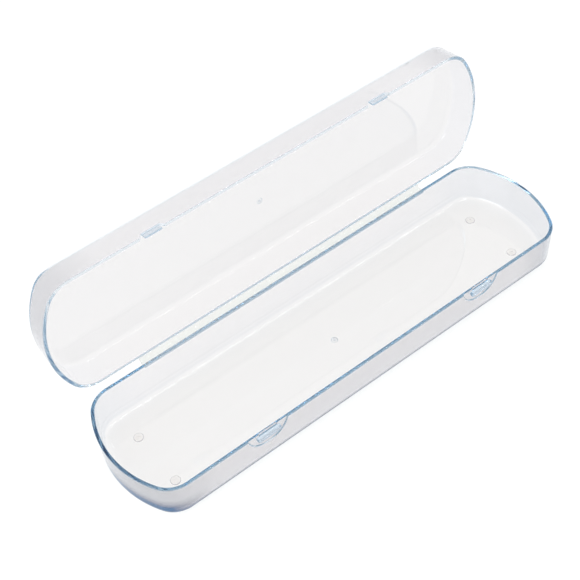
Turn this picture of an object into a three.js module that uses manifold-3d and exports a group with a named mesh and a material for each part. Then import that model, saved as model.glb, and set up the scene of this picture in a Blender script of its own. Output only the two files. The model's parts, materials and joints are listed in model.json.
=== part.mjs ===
// A clear, hinged pencil case moulded in one shot from polypropylene.
// A base tray and a lid share one plan outline. A thin flexing strip joins them along the back,
// and two tongues on the lid's front edge push into two catches on the tray's front wall.
// Millimetres, +Z up, +X along the case, -Y towards the latches. The lid stands open.
import * as THREE from 'three';
import { mergeVertices } from 'three/addons/utils/BufferGeometryUtils.js';
import Module from 'manifold-3d';

const wasm = await Module();
wasm.setup();

// ---------------------------------------------------------------- driving dimensions

// Plan outline, shared by the tray and the lid.
const caseLength = 205;
const caseWidth = 54.2;
const endRadius = 43; // bow of the two short ends
const cornerRadius = 11.8; // where a bowed end turns into a straight side

// Shells.
const wall = 1.4;
const floorThickness = 1.4;
const baseHeight = 18; // underside to rim
const lidHeight = 13; // outside of the panel to rim
const baseEdgeRadius = 4; // outside edge between wall and floor
const lidEdgeRadius = 3;
const baseDraft = THREE.MathUtils.degToRad(1.8);
const lidDraft = THREE.MathUtils.degToRad(3.5);

// Feet: low domes with a small flat underneath.
const footRadius = 2;
const footFlatRadius = 1.1;
const footHeight = 0.5;
const footFromEnd = 17.5; // foot centre to the end of the case
const footFromSide = 14.8; // foot centre to the side of the case
const footSteps = 4; // facets in each foot's rounded edge

// Living hinge: a stiff leaf on each shell and a thin web between them on the fold line.
const hingeFromEnd = 32.5; // end of the strip to the end of the case
const foldReach = 1.7; // back wall to fold line
const leafThickness = 0.8;
const webRadius = 0.25;
const webGap = 0.1;
const restOpening = 93.5; // degrees between the shut lid and the lid as it stands
const shutGap = 0.2; // between the two rims when shut

// Latches, two along the front edge.
const latchSpacing = 104;
const recessRadius = 9.1; // half-moon finger recess in the tray's front wall
const recessDrop = 7.6; // its lowest point, below the rim
const recessDepth = 0.45;
const tongueWidth = 7.4;
const tongueThickness = 0.6;
const tongueReach = 1; // past the lid's rim
const tongueSetback = 0.15; // from the wall's outside face
const reliefDepth = 0.6; // cut into the lid's rim around the tongue's root
const reliefSlope = 2.2; // length of each sloping side of that cut
const latchClearance = 0.3; // beside and under the tongue
const slotClearance = 0.15; // before and behind the tongue
const catchLength = 10.4;
const catchHeight = 3.1;
const catchDrop = 0.3; // top of the catch, below the rim
const catchReach = 1; // out from the wall
const catchCornerRadius = 1.2;
const catchBevel = 0.3;
const bevelSteps = 3;

// Pieces of the moulding that meet face to face stop this far apart.
const joinGap = 0.05;

// How finely curved surfaces are divided.
const arcSteps = 10; // in each arc of the plan outline
const edgeSteps = 6;
const roundSides = 24;
const cutMargin = 1; // how far a cutter runs past what it cuts

// ---------------------------------------------------------------- sizes that follow

const halfLength = caseLength / 2;
const halfWidth = caseWidth / 2;
const hingeLength = caseLength - 2 * hingeFromEnd;
const hingeY = halfWidth + foldReach;
const rimZ = footHeight + baseHeight;
const hingeZ = rimZ + shutGap / 2;
const lidRimZ = -shutGap / 2; // in the lid's own frame, which has the fold line at its origin
const slotDepth = tongueSetback + tongueThickness + slotClearance;
const notchDepth = tongueReach - shutGap + latchClearance;
const notchHalfWidth = tongueWidth / 2 + latchClearance;
const latchX = { left: -latchSpacing / 2, right: latchSpacing / 2 };
const footX = { left: footFromEnd - halfLength, right: halfLength - footFromEnd };
const footY = { front: footFromSide - halfWidth, back: halfWidth - footFromSide };

// ---------------------------------------------------------------- solids

/** Turns a closed geometry into a manifold-3d solid. */
function toSolid(geometry) {
  const bare = geometry.clone();
  bare.deleteAttribute('normal');
  bare.deleteAttribute('uv');
  const merged = mergeVertices(bare);
  const triVerts = Uint32Array.from(merged.index.array);
  const vertProperties = Float32Array.from(merged.attributes.position.array);
  return new wasm.Manifold(new wasm.Mesh({ numProp: 3, vertProperties, triVerts }));
}

/** Turns a manifold-3d solid back into a geometry. */
function toGeometry(solid) {
  const { vertProperties, triVerts } = solid.getMesh();
  const geometry = new THREE.BufferGeometry();
  geometry.setAttribute('position', new THREE.BufferAttribute(vertProperties, 3));
  geometry.setIndex(new THREE.BufferAttribute(triVerts, 1));
  return geometry;
}

/** Cuts every cutter out of a geometry. */
function cut(geometry, cutters) {
  const whole = cutters.reduce((rest, cutter) => rest.subtract(toSolid(cutter)), toSolid(geometry));
  return toGeometry(whole);
}

/** The plan outline moved inwards by an inset, as points running anticlockwise. */
function outlinePoints(inset) {
  const bow = endRadius - inset;
  const corner = cornerRadius - inset;
  const bowX = halfLength - endRadius;
  const cornerY = halfWidth - cornerRadius;
  const cornerX = bowX + Math.sqrt((endRadius - cornerRadius) ** 2 - cornerY ** 2);
  const meeting = Math.atan2(cornerY, cornerX - bowX);
  const arc = (x, y, radius, start, end) => new THREE.EllipseCurve(x, y, radius, radius, start, end);
  const points = [];
  for (const side of [0, Math.PI]) {
    const sign = Math.cos(side);
    const arcs = [
      arc(sign * cornerX, -sign * cornerY, corner, side - Math.PI / 2, side - meeting),
      arc(sign * bowX, 0, bow, side - meeting, side + meeting),
      arc(sign * cornerX, sign * cornerY, corner, side + meeting, side + Math.PI / 2),
    ];
    // Each arc starts where the last one ends, so only the first arc of a side keeps its first point.
    points.push(arcs[0].getPoint(0));
    for (const part of arcs) points.push(...part.getPoints(arcSteps).slice(1));
  }
  return points;
}

/** A solid through a stack of rings, each the plan outline at its own inset and height. */
function stack(rings) {
  const positions = [];
  const index = [];
  const count = outlinePoints(0).length;
  for (const { inset, z } of rings) {
    for (const point of outlinePoints(inset)) positions.push(point.x, point.y, z);
  }
  const bottomCentre = positions.length / 3;
  const topCentre = bottomCentre + 1;
  const lastRing = (rings.length - 1) * count;
  positions.push(0, 0, rings[0].z, 0, 0, rings.at(-1).z);
  for (let i = 0; i < count; i++) {
    const next = (i + 1) % count;
    for (let ring = 0; ring < lastRing; ring += count) {
      index.push(ring + i, ring + next, ring + count + next);
      index.push(ring + i, ring + count + next, ring + count + i);
    }
    index.push(bottomCentre, next, i);
    index.push(topCentre, lastRing + i, lastRing + next);
  }
  const geometry = new THREE.BufferGeometry();
  geometry.setAttribute('position', new THREE.Float32BufferAttribute(positions, 3));
  geometry.setIndex(index);
  return geometry;
}

/** Rings of a drafted wall with a rounded lower edge, from its flat end up to its top. */
function wallRings({ bottomZ, rimZ: top, rimInset, radius, draft, above = 0 }) {
  const insetAt = (z) => rimInset + (top - z) * Math.tan(draft);
  const centreZ = bottomZ + radius;
  const centreInset = insetAt(centreZ) + radius / Math.cos(draft);
  const rings = [];
  for (let step = 0; step <= edgeSteps; step++) {
    const angle = THREE.MathUtils.lerp(Math.PI / 2, draft, step / edgeSteps);
    rings.push({ inset: centreInset - radius * Math.cos(angle), z: centreZ - radius * Math.sin(angle) });
  }
  rings.push({ inset: insetAt(top + above), z: top + above });
  return rings;
}

/** The outside of a shell and the hollow to cut from it, with its flat outside at z = 0. */
function shellParts(height, radius, draft) {
  const outside = stack(wallRings({ bottomZ: 0, rimZ: height, rimInset: 0, radius, draft }));
  const hollow = stack(wallRings({
    bottomZ: floorThickness,
    rimZ: height,
    rimInset: wall,
    radius: radius - wall,
    draft,
    above: cutMargin,
  }));
  return { outside, hollow };
}

/** A box given by its lowest and highest corners. */
function boxBetween(low, high) {
  const size = high.map((value, axis) => value - low[axis]);
  const geometry = new THREE.BoxGeometry(...size);
  return geometry.translate(...low.map((value, axis) => value + size[axis] / 2));
}

// ---------------------------------------------------------------- base

/** Half-moon finger recess, as a disc cutter lying in the drafted front wall at x = 0. */
function recessCutter() {
  const depth = recessDepth + cutMargin;
  const disc = new THREE.CylinderGeometry(recessRadius, recessRadius, depth, 2 * roundSides);
  disc.translate(0, recessDepth - depth / 2, recessRadius - recessDrop);
  disc.rotateX(baseDraft);
  return disc.translate(0, -halfWidth, baseHeight);
}

/** Notch in the tray's rim that takes the lid's tongue, at x = 0. */
function notchCutter() {
  const low = [-notchHalfWidth, -halfWidth - cutMargin, baseHeight - notchDepth];
  const high = [notchHalfWidth, -halfWidth + slotDepth, baseHeight + cutMargin];
  return boxBetween(low, high);
}

function baseTray() {
  const { outside, hollow } = shellParts(baseHeight, baseEdgeRadius, baseDraft);
  const cutters = [hollow];
  for (const x of Object.values(latchX)) {
    cutters.push(recessCutter().translate(x, 0, 0), notchCutter().translate(x, 0, 0));
  }
  return cut(outside, cutters);
}

/** Catch: a rounded bar across the recess, rebated behind its top edge to clear the tongue. */
function catchBar() {
  const halfLength = catchLength / 2 - catchBevel;
  const halfHeight = catchHeight / 2 - catchBevel;
  const corner = catchCornerRadius - catchBevel;
  const face = new THREE.Shape();
  for (const [x, y, start] of [[1, -1, -0.5], [1, 1, 0], [-1, 1, 0.5], [-1, -1, 1]]) {
    const centre = [x * (halfLength - corner), y * (halfHeight - corner)];
    face.absarc(...centre, corner, start * Math.PI, (start + 0.5) * Math.PI);
  }
  const depth = recessDepth + catchReach - joinGap;
  const bar = new THREE.ExtrudeGeometry(face, {
    depth: depth - catchBevel,
    bevelThickness: catchBevel,
    bevelSize: catchBevel,
    bevelSegments: bevelSteps,
    curveSegments: edgeSteps,
  });
  // The bevelled far side faces out, and the plain near side is cut flat against the recess.
  const backFace = -halfWidth + recessDepth - joinGap;
  bar.rotateX(Math.PI / 2);
  bar.translate(0, backFace, rimZ - catchDrop - catchHeight / 2);
  const behind = boxBetween(
    [-catchLength, backFace, rimZ - 2 * catchHeight],
    [catchLength, backFace + 2 * cutMargin, rimZ + cutMargin],
  );
  const rebate = boxBetween(
    [-catchLength, -halfWidth, rimZ - notchDepth],
    [catchLength, -halfWidth + 2 * cutMargin, rimZ + cutMargin],
  );
  return cut(bar, [behind, rebate]);
}

function foot() {
  const profile = [new THREE.Vector2(0, 0), new THREE.Vector2(footFlatRadius, 0)];
  for (let step = 1; step <= footSteps; step++) {
    const angle = (step / footSteps) * (Math.PI / 2);
    const radius = footFlatRadius + (footRadius - footFlatRadius) * Math.sin(angle);
    profile.push(new THREE.Vector2(radius, (footHeight - joinGap) * (1 - Math.cos(angle))));
  }
  profile.push(new THREE.Vector2(0, footHeight - joinGap));
  return new THREE.LatheGeometry(profile, roundSides).rotateX(Math.PI / 2);
}

// ---------------------------------------------------------------- lid, in its moulded-flat frame

/** Shallow cut with sloping ends in the lid's rim, around the tongue's root, at x = 0. */
function reliefCutter() {
  const outer = notchHalfWidth + reliefSlope * (1 + cutMargin / reliefDepth);
  const shape = new THREE.Shape();
  shape.moveTo(-notchHalfWidth, -reliefDepth);
  shape.lineTo(notchHalfWidth, -reliefDepth);
  shape.lineTo(outer, cutMargin);
  shape.lineTo(-outer, cutMargin);
  const bar = new THREE.ExtrudeGeometry(shape, { depth: 2 * (wall + cutMargin), bevelEnabled: false });
  bar.rotateX(Math.PI / 2);
  return bar.translate(0, halfWidth + wall, lidHeight);
}

function lidShell() {
  const { outside, hollow } = shellParts(lidHeight, lidEdgeRadius, lidDraft);
  const reliefs = Object.values(latchX).map((x) => reliefCutter().translate(x, 0, 0));
  return cut(outside, [hollow, ...reliefs]).translate(0, hingeY, lidRimZ - lidHeight);
}

function tongue() {
  const outerFace = hingeY + halfWidth - tongueSetback;
  return boxBetween(
    [-tongueWidth / 2, outerFace - tongueThickness, lidRimZ - reliefDepth + joinGap],
    [tongueWidth / 2, outerFace, lidRimZ + tongueReach],
  );
}

// ---------------------------------------------------------------- hinge

/** A leaf from a back wall towards the fold line; side is -1 for the tray and 1 for the lid. */
function hingeLeaf(side, topZ) {
  const wallY = side * (foldReach - joinGap);
  const foldY = side * (webRadius + webGap);
  const low = [-hingeLength / 2, Math.min(wallY, foldY), topZ - leafThickness];
  const high = [hingeLength / 2, Math.max(wallY, foldY), topZ];
  return boxBetween(low, high);
}

function hingeWeb() {
  const web = new THREE.CylinderGeometry(webRadius, webRadius, hingeLength, roundSides / 2);
  return web.rotateZ(Math.PI / 2);
}

// ---------------------------------------------------------------- assembly

/** Clear plastic, tinted a little bluer where light gathers in thin or solid pieces. */
function clearPlastic(color, roughness = 0.12) {
  return new THREE.MeshStandardMaterial({
    color,
    roughness,
    metalness: 0,
    transparent: true,
    opacity: 0.4,
  });
}

function addPiece(group, name, geometry, color, place = [0, 0, 0]) {
  const mesh = new THREE.Mesh(geometry, clearPlastic(color));
  mesh.name = name;
  mesh.position.set(...place);
  group.add(mesh);
}

const shellColor = 0xe4e9ef;
const edgeColor = 0xa9c3dc;

const base = new THREE.Group();
addPiece(base, 'base_tray', baseTray(), shellColor, [0, 0, footHeight]);
addPiece(base, 'base_hinge_leaf', hingeLeaf(-1, rimZ - hingeZ), shellColor, [0, hingeY, hingeZ]);
addPiece(base, 'hinge_web', hingeWeb(), shellColor, [0, hingeY, hingeZ]);
for (const [side, x] of Object.entries(latchX)) {
  addPiece(base, `${side}_catch`, catchBar(), edgeColor, [x, 0, 0]);
}
for (const [side, x] of Object.entries(footX)) {
  for (const [end, y] of Object.entries(footY)) {
    addPiece(base, `${end}_${side}_foot`, foot(), edgeColor, [x, y, 0]);
  }
}

// The lid's frame has the fold line at its origin and the lid lying flat beside the tray.
const lid = new THREE.Group();
addPiece(lid, 'lid_shell', lidShell(), shellColor);
addPiece(lid, 'lid_hinge_leaf', hingeLeaf(1, lidRimZ), shellColor);
for (const [side, x] of Object.entries(latchX)) {
  addPiece(lid, `${side}_tongue`, tongue(), edgeColor, [x, 0, 0]);
}
lid.position.set(0, hingeY, hingeZ);
lid.rotation.x = THREE.MathUtils.degToRad(180 - restOpening);

// The origin is the middle of the standing case's outline, on the surface that it stands on.
const pencilCase = new THREE.Group();
pencilCase.add(base, lid);
const extent = new THREE.Box3().setFromObject(pencilCase, true);
pencilCase.position.y = -(extent.min.y + extent.max.y) / 2;

export default pencilCase;
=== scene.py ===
"""Visual model of a clear hinged pencil case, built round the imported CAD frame.

Metres, in the row frame: +X along the case, -Y towards the latches, +Z up.
Lengths written below are in millimetres and are multiplied by MM where they are used.
"""

import json
import math

import bmesh
import bpy
from mathutils import Matrix, Vector


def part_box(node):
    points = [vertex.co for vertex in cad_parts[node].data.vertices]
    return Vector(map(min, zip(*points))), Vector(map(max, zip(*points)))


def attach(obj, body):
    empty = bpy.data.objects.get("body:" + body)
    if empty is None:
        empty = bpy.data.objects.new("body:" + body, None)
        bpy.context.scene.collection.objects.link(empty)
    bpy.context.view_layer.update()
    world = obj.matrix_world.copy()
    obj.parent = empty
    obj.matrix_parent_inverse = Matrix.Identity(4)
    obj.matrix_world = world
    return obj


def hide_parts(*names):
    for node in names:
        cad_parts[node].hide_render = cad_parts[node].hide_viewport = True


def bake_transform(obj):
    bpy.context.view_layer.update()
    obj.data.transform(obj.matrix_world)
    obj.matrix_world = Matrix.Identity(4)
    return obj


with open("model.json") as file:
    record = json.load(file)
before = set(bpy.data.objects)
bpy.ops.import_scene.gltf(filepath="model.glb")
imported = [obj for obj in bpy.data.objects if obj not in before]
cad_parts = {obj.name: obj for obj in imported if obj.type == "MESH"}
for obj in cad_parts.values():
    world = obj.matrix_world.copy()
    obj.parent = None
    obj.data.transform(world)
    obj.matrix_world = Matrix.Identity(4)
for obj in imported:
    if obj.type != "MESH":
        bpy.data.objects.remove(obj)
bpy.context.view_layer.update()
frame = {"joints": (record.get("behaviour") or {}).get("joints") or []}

# ---------------------------------------------------------------- sizes from the frame

MM = 0.001
tray_low, tray_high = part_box("base_tray")
HINGE = Vector(frame["joints"][0]["pos_m"])
OPENING = math.radians(-frame["joints"][0]["range_deg"][0])  # shut lid to lid at rest

HALF_LENGTH = (tray_high.x - tray_low.x) / 2 / MM
HALF_WIDTH = (tray_high.y - tray_low.y) / 2 / MM
TRAY_HEIGHT = (tray_high.z - tray_low.z) / MM
TRAY_CENTRE_Y = (tray_high.y + tray_low.y) / 2 / MM
UNDERSIDE_Z = tray_low.z / MM
RIM_Z = tray_high.z / MM
BACK_Y = tray_high.y / MM
FOLD_REACH = (HINGE.y - tray_high.y) / MM  # back wall to fold line
HALF_GAP = (HINGE.z - tray_high.z) / MM  # fold line above each rim


def middle_x(node):
    """The middle of a CAD node along the case."""
    low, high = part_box(node)
    return (low.x + high.x) / 2 / MM


LATCH_X = {side: middle_x(f"{side}_catch") for side in ("left", "right")}
catch_low, catch_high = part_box("left_catch")
CATCH_LENGTH = (catch_high.x - catch_low.x) / MM
CATCH_BOTTOM = catch_low.z / MM - RIM_Z  # heights from the rim
CATCH_TOP = catch_high.z / MM - RIM_Z
CATCH_REACH = (tray_low.y - catch_low.y) / MM  # out from the front wall
CATCH_SEAT = (catch_high.y - tray_low.y) / MM  # into the recess
tongue_low, tongue_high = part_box("left_tongue")
TONGUE_WIDTH = (tongue_high.x - tongue_low.x) / MM
strip_low, strip_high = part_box("base_hinge_leaf")
STRIP_HALF_LENGTH = (strip_high.x - strip_low.x) / 2 / MM
STRIP_THICKNESS = (strip_high.z - strip_low.z) / MM

# ---------------------------------------------------------------- sizes of the moulding

END_RADIUS = 43
CORNER_RADIUS = 11.8
WALL = 1.4
FLOOR = 1.4
RIM_EDGE = 0.28  # rounding along both edges of a rim
LID_HEIGHT = 13
TRAY_SHAPE = {"height": TRAY_HEIGHT, "radius": 4, "draft": math.radians(1.8)}
LID_SHAPE = {"height": LID_HEIGHT, "radius": 3, "draft": math.radians(3.5)}
HOLDING = 0.4  # distance from a curve to the ring that keeps the flat beside it flat

RECESS_RADIUS = 9.1
RECESS_DROP = 7.6  # from the tray's rim to the bottom of the recess
RECESS_DEPTH = 0.45
RECESS_SLOPE = 0.35  # width of the sloping edge round it
LATCH_CLEARANCE = 0.3  # at each side of a tongue
NOTCH_DEPTH = 1.1  # down from the tray's rim
SLOT_DEPTH = 0.9  # in from the front of the tray
RELIEF_DEPTH = 1.9  # into the lid from its rim
RELIEF_SLOPE = 1.5  # length of each sloping end
TONGUE_THICKNESS = 0.6
TONGUE_SETBACK = 0.15  # behind the lid's outer face
TONGUE_REACH = 1  # past the lid's rim
TONGUE_CORNER = 0.4
TONGUE_RIDGE = 0.08
RIDGE_DROP = 0.55  # from the tongue's tip
RIDGE_WIDTH = 0.2
TIP_TAPER = 0.12  # taken off each face at the tip
TAPER_START = 0.75  # share of the tongue's height at which the taper begins

CATCH_CORNER = 1.2
CATCH_BEVEL = 0.3
CATCH_ROUNDING = 0.98  # share of its corners' curve that its ends follow, so that they stay blunt
GROOVE_DEPTH = 0.14
GROOVE_PLACE = 0.33  # each groove's place off the middle, as a share of half the catch's height
GROOVE_WIDTH = 0.14  # in the same share
SLIVER = 0.02  # least thickness where a shape runs out, and least radius of a lathed end

FOOT_FLAT = 1.1
FOOT_DIMPLE = [(SLIVER, 0.16), (0.35, 0.15), (0.6, 0.1), (0.8, 0.02), (0.9, 0)]  # (radius, z)

GATE_DIMPLE = 1.3
GATE_DEPTH = 0.4
GATE_STUB = [(SLIVER, 0.06), (0.25, 0.03), (0.42, 0.05), (0.5, 0.12), (0.5, 0.38)]  # (radius, z)

FOLD_HALF = 0.5  # half the width of the strip that bends
FOLD_THICKNESS = 0.28
FOLD_GROOVE = 0.55  # half the width of the groove that thins the strip along the fold line
BEAD_HEIGHT = 0.1  # of the low bead along the middle of the strip's inner face
BEAD_WIDTH = 0.3
STRIP_END = [(0, 0.1), (0.04, 0.05), (0.12, 0.015), (0.3, 0)]  # (distance in, set-back of each face)

JOIN_GAP = 0.05
CUT_MARGIN = 1

ARC_STEPS = 30
EDGE_STEPS = 14
ROUND_SIDES = 48
CATCH_END_STEPS = 10
CATCH_FRONT_STEPS = 40
TONGUE_STEPS = 24
TONGUE_RISE_STEPS = 12
FOLD_STEPS = 24
STRIP_STEPS = 50

# The lid's own frame has the fold line at its origin and the lid lying flat behind the tray.
LID_FRAME = Matrix.Translation(HINGE) @ Matrix.Rotation(math.pi - OPENING, 4, "X")
UP = Vector((0, 0, 1))
LID_UP = LID_FRAME.to_3x3() @ UP  # from its panel towards its rim
LID_FRONT = LID_FRAME.to_3x3() @ Vector((0, 1, 0))  # from its hinge towards its tongues

# ---------------------------------------------------------------- meshes


def mesh_object(name, points, faces):
    """A mesh piece from points in millimetres, with its faces turned outwards."""
    mesh = bpy.data.meshes.new(name)
    mesh.from_pydata([Vector(p) * MM for p in points], [], faces)
    turned = bmesh.new()
    turned.from_mesh(mesh)
    bmesh.ops.recalc_face_normals(turned, faces=turned.faces)
    turned.to_mesh(mesh)
    turned.free()
    piece = bpy.data.objects.new(name, mesh)
    bpy.context.scene.collection.objects.link(piece)
    return piece


def loft(name, rings):
    """A closed piece through rings that all have the same number of points."""
    count = len(rings[0])
    points = [p for ring in rings for p in ring]
    faces = []
    for ring in range(len(rings) - 1):
        for i in range(count):
            j = (i + 1) % count
            a, b = ring * count, (ring + 1) * count
            faces.append((a + i, a + j, b + j, b + i))
    last = (len(rings) - 1) * count
    faces.append(tuple(reversed(range(count))))
    faces.append(tuple(last + i for i in range(count)))
    return mesh_object(name, points, faces)


def lathe(name, profile, sides=ROUND_SIDES):
    """A closed round piece about Z from (radius, z) points, none of them on the axis."""
    turns = [2 * math.pi * i / sides for i in range(sides)]
    rings = [[(r * math.cos(t), r * math.sin(t), z) for t in turns] for r, z in profile]
    return loft(name, rings)


def arc(centre, radius, start, end, steps):
    """Points on an arc, angles in radians."""
    angles = [start + (end - start) * i / steps for i in range(steps + 1)]
    return [(centre[0] + radius * math.cos(a), centre[1] + radius * math.sin(a)) for a in angles]


def bulge(x, middle, width):
    """A smooth rise to 1 at the middle."""
    return math.exp(-(((x - middle) / width) ** 2))


def round_off(past, radius):
    """How far a rounded edge has fallen back at a distance past the start of its curve."""
    return radius - math.sqrt(max(radius**2 - max(past, 0) ** 2, 0))


def outline(inset):
    """The plan outline of both shells, moved inwards."""
    bow_x = HALF_LENGTH - END_RADIUS
    corner_y = HALF_WIDTH - CORNER_RADIUS
    corner_x = bow_x + math.sqrt((END_RADIUS - CORNER_RADIUS) ** 2 - corner_y**2)
    meeting = math.atan2(corner_y, corner_x - bow_x)
    corner = CORNER_RADIUS - inset
    bow = END_RADIUS - inset
    quarter = math.pi / 2
    right = arc((corner_x, -corner_y), corner, -quarter, -meeting, ARC_STEPS)
    right += arc((bow_x, 0), bow, -meeting, meeting, ARC_STEPS)[1:]
    right += arc((corner_x, corner_y), corner, meeting, quarter, ARC_STEPS)[1:]
    return right + [(-x, -y) for x, y in right]


def shell_profile(height, radius, draft):
    """(inset, z) points up the outside from the panel, over the rim and down the inside."""

    def wall_inset(z, face):
        """Inset at a height of the outer face of the drafted wall, or of one a given way behind it."""
        return face + (height - z) * math.tan(draft)

    def edge(face, z, r, side):
        """Inset of the centre of a curve of radius r that ends on a face, on the side given."""
        return wall_inset(z, face) + side * r / math.cos(draft)

    quarter = math.pi / 2
    fillet_inset = edge(0, radius, radius, 1)
    rim_z = height - RIM_EDGE
    inner_radius = radius - WALL
    inner_z = FLOOR + inner_radius
    inner_inset = edge(WALL, inner_z, inner_radius, 1)
    down = math.pi + quarter
    out = math.pi + draft
    outer_rim = (edge(0, rim_z, RIM_EDGE, 1), rim_z)
    inner_rim = (edge(WALL, rim_z, RIM_EDGE, -1), rim_z)

    points = [(fillet_inset + HOLDING, 0)]
    points += arc((fillet_inset, radius), radius, down, out, EDGE_STEPS)
    for z in (radius + HOLDING, rim_z - HOLDING):
        points.append((wall_inset(z, 0), z))
    points += arc(outer_rim, RIM_EDGE, out, quarter, EDGE_STEPS // 2)
    points += arc(inner_rim, RIM_EDGE, quarter, draft, EDGE_STEPS // 2)
    for z in (rim_z - HOLDING, inner_z + HOLDING):
        points.append((wall_inset(z, WALL), z))
    points += arc((inner_inset, inner_z), inner_radius, out, down, EDGE_STEPS)
    points.append((inner_inset + HOLDING, FLOOR))
    return points


def shell(name, height, radius, draft):
    """A shell with its flat outside at z = 0, open upwards."""
    profile = shell_profile(height, radius, draft)
    rings = [[(x, y, z) for x, y in outline(inset)] for inset, z in profile]
    return loft(name, rings)


def move(piece, matrix):
    """Moves a piece's own points."""
    piece.data.transform(matrix)
    piece.data.update()


def cut(piece, cutters):
    """Cuts every cutter out of a piece and removes the cutters."""
    for cutter in cutters:
        modifier = piece.modifiers.new(cutter.name, "BOOLEAN")
        modifier.operation = "DIFFERENCE"
        modifier.solver = "EXACT"
        modifier.object = cutter
    bpy.context.view_layer.update()
    evaluated = piece.evaluated_get(bpy.context.evaluated_depsgraph_get())
    mesh = bpy.data.meshes.new_from_object(evaluated)
    piece.modifiers.clear()
    piece.data = mesh
    for cutter in cutters:
        bpy.data.objects.remove(cutter)


def smooth(piece, angle=35):
    """Shades a piece smooth, with edges over an angle in degrees kept sharp."""
    piece.data.shade_smooth()
    piece.data.set_sharp_from_angle(angle=math.radians(angle))
    weighted = piece.modifiers.new("weighted_normals", "WEIGHTED_NORMAL")
    weighted.keep_sharp = True
    weighted.weight = 100


def prism(name, outline_points, low, high):
    """A closed piece with an (x, z) outline, from y = low to y = high."""
    rings = [[(x, y, z) for x, z in outline_points] for y in (high, low)]
    return loft(name, rings)


# ---------------------------------------------------------------- shells


def recess_cutter(x):
    """Half-moon finger recess with a sloping edge, lying in the drafted front wall."""
    cutter = lathe(
        "recess_cutter",
        [
            (RECESS_RADIUS - RECESS_SLOPE, RECESS_DEPTH),
            (RECESS_RADIUS, 0),
            (RECESS_RADIUS + CUT_MARGIN, -CUT_MARGIN),
        ],
        2 * ROUND_SIDES,
    )
    lean = Matrix.Rotation(TRAY_SHAPE["draft"], 4, "X")
    place = Matrix.Translation(Vector((x, -HALF_WIDTH, TRAY_HEIGHT)) * MM)
    down = Matrix.Translation(Vector((0, 0, RECESS_RADIUS - RECESS_DROP)) * MM)
    move(cutter, place @ lean @ down @ Matrix.Rotation(-math.pi / 2, 4, "X"))
    return cutter


def notch_cutter(x):
    """Notch in the tray's rim that takes a tongue."""
    half = TONGUE_WIDTH / 2 + LATCH_CLEARANCE
    low, high = TRAY_HEIGHT - NOTCH_DEPTH, TRAY_HEIGHT + CUT_MARGIN
    corners = [(x - half, low), (x + half, low), (x + half, high), (x - half, high)]
    return prism("notch_cutter", corners, -HALF_WIDTH - CUT_MARGIN, -HALF_WIDTH + SLOT_DEPTH)


def relief_cutter(x):
    """Cut with sloping ends in the lid's rim, round a tongue's root."""
    half = TONGUE_WIDTH / 2 + LATCH_CLEARANCE
    outer = half + RELIEF_SLOPE * (1 + CUT_MARGIN / RELIEF_DEPTH)
    low, high = LID_HEIGHT - RELIEF_DEPTH, LID_HEIGHT + CUT_MARGIN
    corners = [(x - half, low), (x + half, low), (x + outer, high), (x - outer, high)]
    return prism("relief_cutter", corners, HALF_WIDTH - WALL - CUT_MARGIN, HALF_WIDTH + CUT_MARGIN)


def gate_cutter():
    """Round dimple in the outside of a panel, where the plastic was let into the mould."""
    profile = [(GATE_DIMPLE + CUT_MARGIN, -CUT_MARGIN)]
    profile += arc((GATE_DIMPLE - GATE_DEPTH, 0), GATE_DEPTH, 0, math.pi / 2, EDGE_STEPS // 2)
    return lathe("gate_cutter", profile)


def make_shell(name, shape, cutters, place, material):
    """A shell with its cutters and a gate dimple cut out, set in its place, all in one material."""
    piece = shell(name, **shape)
    cut(piece, [*cutters, gate_cutter()])
    piece.data.materials.clear()
    piece.data.materials.append(material)
    move(piece, place)
    smooth(piece)
    return piece


# ---------------------------------------------------------------- small parts


def finish_part(piece, material, place=Matrix.Identity(4)):
    """Gives a piece its material, its place and smooth shading."""
    piece.data.materials.append(material)
    move(piece, place)
    smooth(piece)
    return piece


def gate_mark(name, place, material):
    """Stub of plastic left in the dimple of a panel."""
    return finish_part(lathe(name, GATE_STUB, ROUND_SIDES // 2), material, place)


def foot(name, node, material):
    """Low round foot with a dimple in the middle of its underside."""
    low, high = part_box(node)
    radius = (high.x - low.x) / 2 / MM
    top = (high.z - low.z) / MM
    turns = [math.pi / 2 * i / EDGE_STEPS for i in range(EDGE_STEPS + 1)]
    dome_width = radius - FOOT_FLAT
    dome = [(FOOT_FLAT + dome_width * math.sin(t), top * (1 - math.cos(t))) for t in turns]
    centre = (low + high) / 2
    place = Matrix.Translation((centre.x, centre.y, low.z))
    return finish_part(lathe(name, [*FOOT_DIMPLE, *dome, (SLIVER, top)]), material, place)


def catch_section(off_end):
    """(out, z) points round a catch, at a distance in from its end."""
    half_height = (CATCH_TOP - CATCH_BOTTOM) / 2
    middle = (CATCH_TOP + CATCH_BOTTOM) / 2
    half = half_height - round_off(CATCH_CORNER - off_end, CATCH_CORNER) * CATCH_ROUNDING
    front = CATCH_REACH - round_off(CATCH_BEVEL - off_end, CATCH_BEVEL)
    points = []
    for i in range(CATCH_FRONT_STEPS + 1):
        share = -1 + 2 * i / CATCH_FRONT_STEPS
        z = middle + share * half
        across = (z - middle) / half_height
        grooves = sum(bulge(across, at, GROOVE_WIDTH) for at in (GROOVE_PLACE, -GROOVE_PLACE))
        edge = round_off(abs(share) * half - (half - CATCH_BEVEL), CATCH_BEVEL)
        points.append((front - edge - GROOVE_DEPTH * grooves, z))
    top = middle + half
    bottom = middle - half
    step = min(max(-NOTCH_DEPTH, bottom + SLIVER), top - SLIVER)
    return points + [(0, top), (0, step), (-CATCH_SEAT, step), (-CATCH_SEAT, bottom)]


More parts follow.
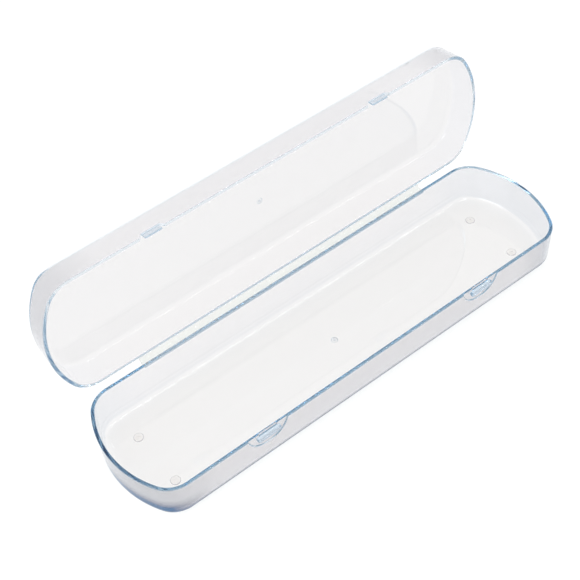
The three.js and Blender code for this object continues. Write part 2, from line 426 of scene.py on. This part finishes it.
def catch(name, x, material):
    """Rounded bar across the recess, grooved along its front and rebated behind its top edge."""
    turns = [math.pi / 2 * i / CATCH_END_STEPS for i in range(CATCH_END_STEPS + 1)]
    ends = [CATCH_LENGTH / 2 - CATCH_CORNER * (1 - math.sin(t)) for t in turns]
    front_y = TRAY_CENTRE_Y - HALF_WIDTH
    rings = []
    for along in [-s for s in reversed(ends)] + ends:
        section = catch_section(CATCH_LENGTH / 2 - abs(along))
        rings.append([(x + along, front_y - out, RIM_Z + z) for out, z in section])
    return finish_part(loft(name, rings), material)


def tongue(name, x, material):
    """Tab on the lid's rim with a rounded tip and a low snap ridge on its outer face."""
    half = TONGUE_WIDTH / 2
    root = -HALF_GAP - RELIEF_DEPTH + JOIN_GAP
    tip = -HALF_GAP + TONGUE_REACH
    outer = FOLD_REACH + 2 * HALF_WIDTH - TONGUE_SETBACK
    rises = [i / TONGUE_RISE_STEPS for i in range(TONGUE_RISE_STEPS + 1)]
    rings = []
    for i in range(TONGUE_STEPS + 1):
        along = -half + 2 * half * i / TONGUE_STEPS
        top = tip - round_off(abs(along) - (half - TONGUE_CORNER), TONGUE_CORNER)
        outer_face = []
        inner_face = []
        for rise in rises:
            z = root + (top - root) * rise
            ridge = TONGUE_RIDGE * bulge(z, tip - RIDGE_DROP, RIDGE_WIDTH)
            taper = TIP_TAPER * max(rise - TAPER_START, 0) / (1 - TAPER_START)
            outer_face.append((x + along, outer + ridge - taper, z))
            inner_face.append((x + along, outer - TONGUE_THICKNESS + taper, z))
        rings.append(inner_face + outer_face[::-1])
    return finish_part(loft(name, rings), material, LID_FRAME)


# ---------------------------------------------------------------- hinge


def fold_section(set_back):
    """(y, z) points round the strip, from the fold line, bent as the lid stands at rest."""
    reach = FOLD_REACH - JOIN_GAP
    across = [reach * i / FOLD_STEPS for i in range(-FOLD_STEPS, FOLD_STEPS + 1)]
    flat = []
    for y in across:
        flat.append((y, -HALF_GAP + BEAD_HEIGHT * bulge(y, 0, BEAD_WIDTH) - set_back))
    for y in reversed(across):
        thinned = (STRIP_THICKNESS - FOLD_THICKNESS) * math.exp(-((y / FOLD_GROOVE) ** 4))
        flat.append((y, -HALF_GAP - STRIP_THICKNESS + thinned + set_back))
    bent = []
    for y, z in flat:
        share = min(max((y + FOLD_HALF) / (2 * FOLD_HALF), 0), 1)
        angle = (math.pi - OPENING) * share**2 * (3 - 2 * share)
        turned_y = y * math.cos(angle) - z * math.sin(angle)
        turned_z = y * math.sin(angle) + z * math.cos(angle)
        bent.append((turned_y, turned_z))
    return bent


def hinge_strip(name, material):
    """Strip between the back walls, thin along the fold line."""
    half = [(STRIP_HALF_LENGTH - inwards, set_back) for inwards, set_back in STRIP_END]
    half += [(STRIP_HALF_LENGTH * (1 - i / STRIP_STEPS), 0) for i in range(1, STRIP_STEPS + 1)]
    stations = half + [(-x, set_back) for x, set_back in reversed(half[:-1])]
    rings = [[(x, y, z) for y, z in fold_section(set_back)] for x, set_back in stations]
    return finish_part(loft(name, rings), material, Matrix.Translation(HINGE))


# ---------------------------------------------------------------- materials

CLEAR_IOR = 1.49
LEAST_ROUGHNESS = 0.01
MOST_ROUGHNESS = 0.06
POLISH_SCALE = 900
WAVINESS = 0.006
FLOW_SCALE = 60
FLOW_HEIGHT = 2

# Tints of each shell: its panel, and its side walls along their length and at their two ends, where a
# wall seen from outside looks deeper than one seen from inside. The darker tints at the ends are painted
# shade.
TRAY_TINTS_AND_END_SHADE = {
    "panel": (0.977, 0.954, 0.948),
    "inner": (0.905, 0.888, 0.895),
    "inner_end_shade": (0.830, 0.830, 0.850),
    "outer": (0.735, 0.715, 0.740),
    "outer_end_shade": (0.420, 0.425, 0.465),
}
LID_TINTS_AND_END_SHADE = {
    "panel": (0.870, 0.860, 0.861),
    "inner": (0.895, 0.880, 0.882),
    "inner_end_shade": (0.860, 0.855, 0.870),
    "outer": (1, 0.990, 1),
    "outer_end_shade": (0.550, 0.555, 0.590),
}
PANEL_TURN = (0.6, 0.8)  # how far a face looks along the panel's normal, from side wall to panel
END_SHADE_BAND = 30  # length of each end over which the ends' painted shade comes in

# What the plastic leaves of light that runs along inside it.
DEPTH_COLOUR = (0.20, 0.48, 0.66)
TRAY_DEPTH = {"colour": DEPTH_COLOUR, "density": 34}
LID_DEPTH = {"colour": (0.36, 0.58, 0.74), "density": 20}
LATCH_DEPTH = {"colour": DEPTH_COLOUR, "density": 80}
THIN_DEPTH = {"colour": DEPTH_COLOUR, "density": 5}
ESCAPE_DEPTH = 12  # turns inside a wall after which a ray is let out
LAMP_TINT = (0.995, 0.985, 0.975)

# Painted shade along the foot of the tray's outer wall: grey, and navy at the left end. A pair is where
# a share starts and where it is full.
FOOT_SHADE_GREY = (0.08, 0.09, 0.13)
FOOT_SHADE_NAVY = (0.004, 0.03, 0.12)
GREY_SHADE_HEIGHTS = (4.5, 3.5)  # above the underside
NAVY_SHADE_HEIGHTS = (11, 6)
NAVY_SHADE_REACH = (24, 9)  # from the left end
OUTSIDE_TURN = (0, -0.03)  # how far a face looks up

# The stretch of the tray's rim that the hinge strip runs into is paler than the rest.
JOINED_TINT = (0.80, 0.82, 0.84)
JOINED_SHARE = 0.75
JOINED_PAST = (0.2, 0)  # past the strip's ends
JOINED_BEFORE = (2.5, 2)  # forward of the back wall
JOINED_BELOW = (1, 0.6)  # under the rim

# The lid's outer bend, by how far a face looks along the lid's own up and by how edge-on it is seen.
BEND_TINT = (0.95, 0.96, 0.97)
BEND_FROM_WALL = (-0.08, -0.15)
BEND_FROM_PANEL = (-0.97, -0.9)
BEND_EDGE_ON = (0.1, 0.3)
BEND_FADE = 0.4  # width over which the clear zone inside the bend comes in

LATCH_TINT = (0.78, 0.84, 0.90)
FOOT_TINT = (1, 1, 1)
STRIP_TINT = (0.86, 0.88, 0.865)
STRIP_HAZE = 0.1
STRIP_WAVINESS = 0.1
STRIP_GRAIN = (0.05, 1, 1)
FLOOR_COLOUR = (0.9, 0.9, 0.9)
FLOOR_ROUGHNESS = 0.8


def rgba(colour):
    """A colour's socket as it is, or its constant with an alpha of 1."""
    return colour if isinstance(colour, bpy.types.NodeSocket) else (*colour, 1)


class Nodes:
    """A material's node tree, with a short way to add a node and link to its inputs."""

    def __init__(self, name):
        self.material = bpy.data.materials.new(name)
        self.material.use_nodes = True
        self.tree = self.material.node_tree
        self.tree.nodes.clear()

    def feed(self, target, value):
        """Gives an input its value: a socket to link, or a constant."""
        if isinstance(value, bpy.types.NodeSocket):
            self.tree.links.new(value, target)
        else:
            target.default_value = value

    def add(self, kind, **values):
        """Adds a node, with a value for the input or the setting of each name."""
        node = self.tree.nodes.new(kind)
        for key, value in values.items():
            name = key.replace("_", " ")
            if name in node.inputs:
                self.feed(node.inputs[name], value)
            else:
                setattr(node, key, value)
        return node

    def place(self, grain=(1, 1, 1)):
        """Positions on the piece in metres, stretched where the grain is under 1."""
        position = self.add("ShaderNodeTexCoord").outputs["Object"]
        return self.add("ShaderNodeMapping", Vector=position, Scale=grain).outputs["Vector"]

    def normal(self):
        """The surface's normal in the piece's own axes."""
        return self.add("ShaderNodeTexCoord").outputs["Normal"]

    def inside(self):
        """1 for a ray that meets the surface from inside the plastic, 0 for one from outside."""
        return self.add("ShaderNodeNewGeometry").outputs["Backfacing"]

    def vector_maths(self, operation, first, second):
        """A Vector Math node on a socket and a socket or constant."""
        node = self.add("ShaderNodeVectorMath", operation=operation)
        self.feed(node.inputs[0], first)
        self.feed(node.inputs[1], second)
        return node.outputs

    def from_point(self, place, point):
        """Positions measured from a point."""
        return self.vector_maths("SUBTRACT", place, point)["Vector"]

    def dot(self, first, second):
        """How far one vector goes along another."""
        return self.vector_maths("DOT_PRODUCT", first, second)["Value"]

    def maths(self, operation, *values):
        """The result of a Math node on sockets or numbers."""
        node = self.add("ShaderNodeMath", operation=operation)
        for socket, value in zip(node.inputs, values):
            self.feed(socket, value)
        return node.outputs[0]

    def product(self, first, *others):
        """The product of sockets or numbers."""
        for other in others:
            first = self.maths("MULTIPLY", first, other)
        return first

    def ramp(self, value, start, end):
        """A value turned into a share that is 0 at start and 1 at end."""
        share = self.add("ShaderNodeMapRange", Value=value)
        share.inputs["From Min"].default_value = start
        share.inputs["From Max"].default_value = end
        return share.outputs["Result"]

    def length_ramp(self, value, start, end):
        """A ramp on a length in metres, between two lengths in millimetres."""
        return self.ramp(value, start * MM, end * MM)

    def blend_colours(self, share, first, second):
        """A colour between two, each a socket or a constant."""
        blend = self.add("ShaderNodeMix", data_type="RGBA")
        self.feed(blend.inputs["Factor"], share)
        socket_a, socket_b = (s for s in blend.inputs if s.name in ("A", "B") and s.type == "RGBA")
        self.feed(socket_a, rgba(first))
        self.feed(socket_b, rgba(second))
        return next(s for s in blend.outputs if s.type == "RGBA")

    def clear_through(self, tint):
        """A shader that lets light straight through."""
        return self.add("ShaderNodeBsdfTransparent", Color=rgba(tint)).outputs[0]

    def mix(self, share, first, second):
        """A mix of two shaders, by a number or a socket."""
        mix = self.add("ShaderNodeMixShader", Fac=share)
        self.feed(mix.inputs[1], first)
        self.feed(mix.inputs[2], second)
        return mix.outputs[0]


def wavy_normal(m, place, strength):
    """The faint flow lines that the melt leaves as it fills a mould."""
    flow = m.add("ShaderNodeTexNoise", Vector=place, Scale=FLOW_SCALE, Detail=3)
    height = flow.outputs["Fac"]
    bump = m.add("ShaderNodeBump", Height=height, Strength=strength, Distance=FLOW_HEIGHT * MM)
    return bump.outputs["Normal"]


def polish(m, place, haze):
    """Roughness that changes a little over the surface, as mould polish and handling leave it."""
    fine = m.add("ShaderNodeTexNoise", Vector=place, Scale=POLISH_SCALE, Detail=2)
    rough = m.add("ShaderNodeMapRange", Value=fine.outputs["Fac"])
    rough.inputs["To Min"].default_value = LEAST_ROUGHNESS + haze
    rough.inputs["To Max"].default_value = MOST_ROUGHNESS + haze
    return rough.outputs["Result"]


def clear_glass(m, place, tint, haze=0, waviness=WAVINESS):
    """Clear polished plastic, without its depth."""
    return m.add(
        "ShaderNodeBsdfPrincipled",
        Base_Color=rgba(tint),
        IOR=CLEAR_IOR,
        Roughness=polish(m, place, haze),
        Normal=wavy_normal(m, place, waviness),
        Transmission_Weight=1,
    ).outputs[0]


def finish_clear(m, glass, depth):
    """Sends the lamps' rays straight through, darkens the plastic with depth, and makes the material."""
    path = m.add("ShaderNodeLightPath")
    lamp = m.maths("MAXIMUM", path.outputs["Is Shadow Ray"], path.outputs["Is Diffuse Ray"])
    trapped = m.maths("GREATER_THAN", path.outputs["Ray Depth"], ESCAPE_DEPTH)
    passes = m.maths("MAXIMUM", lamp, trapped)
    surface = m.mix(passes, glass, m.clear_through(LAMP_TINT))
    body = m.add("ShaderNodeVolumeAbsorption", Color=rgba(depth["colour"]), Density=depth["density"])
    m.add("ShaderNodeOutputMaterial", Surface=surface, Volume=body.outputs[0])
    return m.material


def clear_plastic(name, tint, depth, haze=0, waviness=WAVINESS, grain=(1, 1, 1)):
    """A clear plastic that is the same all over."""
    m = Nodes(name)
    return finish_clear(m, clear_glass(m, m.place(grain), tint, haze, waviness), depth)


def from_outside(m, share):
    """A share kept only for rays that meet the surface from outside the plastic."""
    return m.maths("MAXIMUM", m.maths("SUBTRACT", share, m.inside()), 0)


def shell_tint_and_end_shade(m, place, up, centre, tints_and_shade):
    """Tint of a shell: its panel's, and its side walls' by end and by the side they are seen from, with
    painted shade towards the ends.
    """
    x = m.add("ShaderNodeSeparateXYZ", Vector=place).outputs["X"]
    # Painted shade: the side walls darken towards both ends of the case.
    end = m.length_ramp(m.maths("ABSOLUTE", x), HALF_LENGTH - END_SHADE_BAND, HALF_LENGTH)
    inner = m.blend_colours(end, tints_and_shade["inner"], tints_and_shade["inner_end_shade"])
    outer = m.blend_colours(end, tints_and_shade["outer"], tints_and_shade["outer_end_shade"])
    outer_face = m.length_ramp(m.dot(m.from_point(place, centre), m.normal()), 0, WALL)
    sides = m.blend_colours(from_outside(m, outer_face), inner, outer)
    return m.blend_colours(m.ramp(m.maths("ABSOLUTE", up), *PANEL_TURN), sides, tints_and_shade["panel"])


def tray_foot_shade(m, split, up, tint):
    """Paints shade on the foot of the tray's outer wall: dark grey, and navy towards the left end."""
    height = m.maths("SUBTRACT", split.outputs["Z"], UNDERSIDE_Z * MM)
    left = m.length_ramp(split.outputs["X"], *(inwards - HALF_LENGTH for inwards in NAVY_SHADE_REACH))
    grey_shade = m.product(m.length_ramp(height, *GREY_SHADE_HEIGHTS), m.maths("SUBTRACT", 1, left))
    navy_shade = m.product(m.length_ramp(height, *NAVY_SHADE_HEIGHTS), left)
    outside = from_outside(m, m.ramp(up, *OUTSIDE_TURN))
    # Painted shade: grey along the foot of the outer wall, navy at its left end.
    share = m.product(m.maths("ADD", grey_shade, navy_shade), outside)
    return m.blend_colours(share, tint, m.blend_colours(left, FOOT_SHADE_GREY, FOOT_SHADE_NAVY))


def joined_rim(m, split):
    """1 on the part of the tray's rim that the hinge strip runs into, 0 elsewhere."""
    x = m.maths("ABSOLUTE", split.outputs["X"])
    along = m.length_ramp(x, *(STRIP_HALF_LENGTH + past for past in JOINED_PAST))
    back = m.length_ramp(split.outputs["Y"], *(BACK_Y - before for before in JOINED_BEFORE))
    top = m.length_ramp(split.outputs["Z"], *(RIM_Z - below for below in JOINED_BELOW))
    return m.product(along, back, top)


def tray_plastic(centre):
    """The tray, with painted shade along the foot of its outer wall and the paler stretch of its rim."""
    m = Nodes("tray_plastic")
    place = m.place()
    up = m.dot(m.normal(), UP)
    split = m.add("ShaderNodeSeparateXYZ", Vector=place)
    tint = tray_foot_shade(m, split, up, shell_tint_and_end_shade(m, place, up, centre, TRAY_TINTS_AND_END_SHADE))
    share = m.product(joined_rim(m, split), JOINED_SHARE)
    surface = m.mix(share, clear_glass(m, place, tint), m.clear_through(JOINED_TINT))
    return finish_clear(m, surface, TRAY_DEPTH)


def front_bend(m, place, centre):
    """1 for a ray inside the plastic at the bend between the lid's front wall and panel, 0 elsewhere."""
    away = m.from_point(place, centre)
    radius = LID_SHAPE["radius"]
    reach = radius + BEND_FADE
    near_panel = m.length_ramp(m.dot(away, LID_UP), reach, radius)
    near_front = m.length_ramp(m.dot(away, LID_FRONT), HALF_WIDTH - reach, HALF_WIDTH - radius)
    return m.product(m.inside(), near_panel, near_front)


def lid_plastic(centre):
    """The lid. Its outer bend lets the pale surroundings through where it turns away."""
    m = Nodes("lid_plastic")
    place = m.place()
    up = m.dot(m.normal(), LID_UP)
    glass = clear_glass(m, place, shell_tint_and_end_shade(m, place, up, centre, LID_TINTS_AND_END_SHADE))
    edge_on = m.add("ShaderNodeLayerWeight", Blend=0.5).outputs["Facing"]
    bend = m.product(m.ramp(up, *BEND_FROM_WALL), m.ramp(up, *BEND_FROM_PANEL))
    turned_away = m.product(m.ramp(edge_on, *BEND_EDGE_ON), bend)
    share = m.maths("MAXIMUM", turned_away, front_bend(m, place, centre))
    return finish_clear(m, m.mix(share, glass, m.clear_through(BEND_TINT)), LID_DEPTH)


def floor_material():
    """A plain pale floor."""
    m = Nodes("pale_floor")
    colour = rgba(FLOOR_COLOUR)
    surface = m.add("ShaderNodeBsdfPrincipled", Base_Color=colour, Roughness=FLOOR_ROUGHNESS)
    m.add("ShaderNodeOutputMaterial", Surface=surface.outputs[0])
    return m.material


# ---------------------------------------------------------------- studio

CAMERA_AZIMUTH = math.radians(-33.829)
CAMERA_ELEVATION = math.radians(48.950)
CAMERA_ROLL = math.radians(-5.642)
CAMERA_DISTANCE = 475.6
CAMERA_AIM = (-5.578, 19.590, 0)  # from the middle of the tray's rim
LENS = 75.46
SENSOR = 36
CLIP_START = 10

HORIZON_BRIGHTNESS = 1.1
OVERHEAD_BRIGHTNESS = 0.97
OVERHEAD_FROM = 0.75  # sine of the elevation above which the surroundings stay at that
FLOOR_REACH = 3000

# Places and sizes in metres. The strip hangs nearly overhead and runs along the case, so that only the
# fillets mirror it.
STRIP_X = 0.476
LIGHTS = {
    "fillet_strip": {
        "place": (STRIP_X, -0.15, 1.2),
        "aim": (STRIP_X, 0, 0),
        "size": (0.8, 0.035),
        "power": 1.6,
    },
    "side_softbox": {
        "place": (-1.2, 0.1, 0.9),
        "aim": (0, 0, 0),
        "size": (0.8, 0.8),
        "power": 5,
    },
}
BOUNCES = 18  # enough for light that runs along inside a wall
CLEAR_BOUNCES = 16


def add_camera():
    """The camera that sees the case as the reference view does."""
    a, e, r = CAMERA_AZIMUTH, CAMERA_ELEVATION, CAMERA_ROLL
    back = Vector((math.sin(a) * math.cos(e), -math.cos(a) * math.cos(e), math.sin(e)))
    level = Vector((math.cos(a), math.sin(a), 0))
    rise = back.cross(level)
    right = level * math.cos(r) + rise * math.sin(r)
    up = rise * math.cos(r) - level * math.sin(r)
    aim = (Vector((0, TRAY_CENTRE_Y, RIM_Z)) + Vector(CAMERA_AIM)) * MM
    place = aim + back * CAMERA_DISTANCE * MM
    data = bpy.data.cameras.new("camera")
    data.lens = LENS
    data.sensor_width = SENSOR
    data.clip_start = CLIP_START * MM
    camera = bpy.data.objects.new("camera", data)
    turn = Matrix((right, up, back)).transposed().to_4x4()
    camera.matrix_world = Matrix.Translation(place) @ turn
    bpy.context.scene.collection.objects.link(camera)
    bpy.context.scene.camera = camera


def add_soft_light(name, place, aim, size, power):
    """A rectangular lamp, in metres and watts, turned towards its aim."""
    data = bpy.data.lights.new(name, "AREA")
    data.shape = "RECTANGLE"
    data.size, data.size_y = size
    data.energy = power
    light = bpy.data.objects.new(name, data)
    light.location = place
    light.rotation_mode = "QUATERNION"
    light.rotation_quaternion = (Vector(place) - Vector(aim)).to_track_quat("Z", "Y")
    bpy.context.scene.collection.objects.link(light)


def add_world():
    """Plain studio surroundings, white low down and greyer overhead."""
    world = bpy.data.worlds.new("studio")
    bpy.context.scene.world = world
    world.use_nodes = True
    nodes, links = world.node_tree.nodes, world.node_tree.links
    nodes.clear()
    place = nodes.new("ShaderNodeTexCoord")
    split = nodes.new("ShaderNodeSeparateXYZ")
    ramp = nodes.new("ShaderNodeValToRGB")
    stops = ((0, HORIZON_BRIGHTNESS), (OVERHEAD_FROM, OVERHEAD_BRIGHTNESS))
    for element, (position, brightness) in zip(ramp.color_ramp.elements, stops):
        element.position = position
        element.color = (brightness, brightness, brightness, 1)
    background = nodes.new("ShaderNodeBackground")
    output = nodes.new("ShaderNodeOutputWorld")
    links.new(place.outputs["Generated"], split.inputs[0])
    links.new(split.outputs["Z"], ramp.inputs[0])
    links.new(ramp.outputs[0], background.inputs["Color"])
    links.new(background.outputs[0], output.inputs["Surface"])


def add_floor():
    """The floor that the case stands on."""
    corners = [(-1, -1), (1, -1), (1, 1), (-1, 1)]
    points = [(x * FLOOR_REACH, y * FLOOR_REACH, 0) for x, y in corners]
    floor = mesh_object("studio_floor", points, [(0, 1, 2, 3)])
    floor.data.materials.append(floor_material())


def set_light_paths():
    """Lets light take as many turns inside the clear walls as it needs."""
    scene = bpy.context.scene
    scene.view_settings.view_transform = "Standard"
    scene.cycles.max_bounces = BOUNCES
    scene.cycles.transmission_bounces = BOUNCES
    scene.cycles.glossy_bounces = BOUNCES
    scene.cycles.transparent_max_bounces = CLEAR_BOUNCES


# ---------------------------------------------------------------- assembly


def put(piece, body, slot, *nodes):
    """Ties a piece to its body and hides the CAD nodes that it stands for. The slot is not used."""
    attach(piece, body)
    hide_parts(*nodes)


latch_plastic = clear_plastic("clear_latches", LATCH_TINT, LATCH_DEPTH)
foot_plastic = clear_plastic("clear_feet", FOOT_TINT, THIN_DEPTH)
hinge_plastic = clear_plastic(
    "flexed_hinge", STRIP_TINT, THIN_DEPTH, STRIP_HAZE, STRIP_WAVINESS, STRIP_GRAIN
)

tray_place = Matrix.Translation(Vector((0, TRAY_CENTRE_Y, UNDERSIDE_Z)) * MM)
tray_cutters = [make(x) for x in LATCH_X.values() for make in (recess_cutter, notch_cutter)]
tray_material = tray_plastic(tray_place.translation)
tray = make_shell("clear_tray", TRAY_SHAPE, tray_cutters, tray_place, tray_material)
put(tray, "base", "tray", "base_tray")

lid_middle = Vector((0, FOLD_REACH + HALF_WIDTH, -HALF_GAP - LID_HEIGHT)) * MM
lid_place = LID_FRAME @ Matrix.Translation(lid_middle)
lid_cutters = [relief_cutter(x) for x in LATCH_X.values()]
lid_material = lid_plastic(lid_place.translation)
lid = make_shell("clear_lid", LID_SHAPE, lid_cutters, lid_place, lid_material)
put(lid, "lid", "lid", "lid_shell")

put(gate_mark("tray_gate_mark", tray_place, latch_plastic), "base", "tray")
put(gate_mark("lid_gate_mark", lid_place, latch_plastic), "lid", "lid")
for end in ("front", "back"):
    for side in ("left", "right"):
        node = f"{end}_{side}_foot"
        put(foot(f"{end}_{side}_foot_dome", node, foot_plastic), "base", "foot", node)
for side, x in LATCH_X.items():
    put(catch(f"{side}_catch_bar", x, latch_plastic), "base", "latch", f"{side}_catch")
    put(tongue(f"{side}_tongue_tab", x, latch_plastic), "lid", "latch", f"{side}_tongue")

strip = hinge_strip("hinge_strip", hinge_plastic)
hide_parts("base_hinge_leaf", "hinge_web", "lid_hinge_leaf")
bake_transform(strip)

add_floor()
add_world()
for name, settings in LIGHTS.items():
    add_soft_light(name, **settings)
add_camera()
set_light_paths()
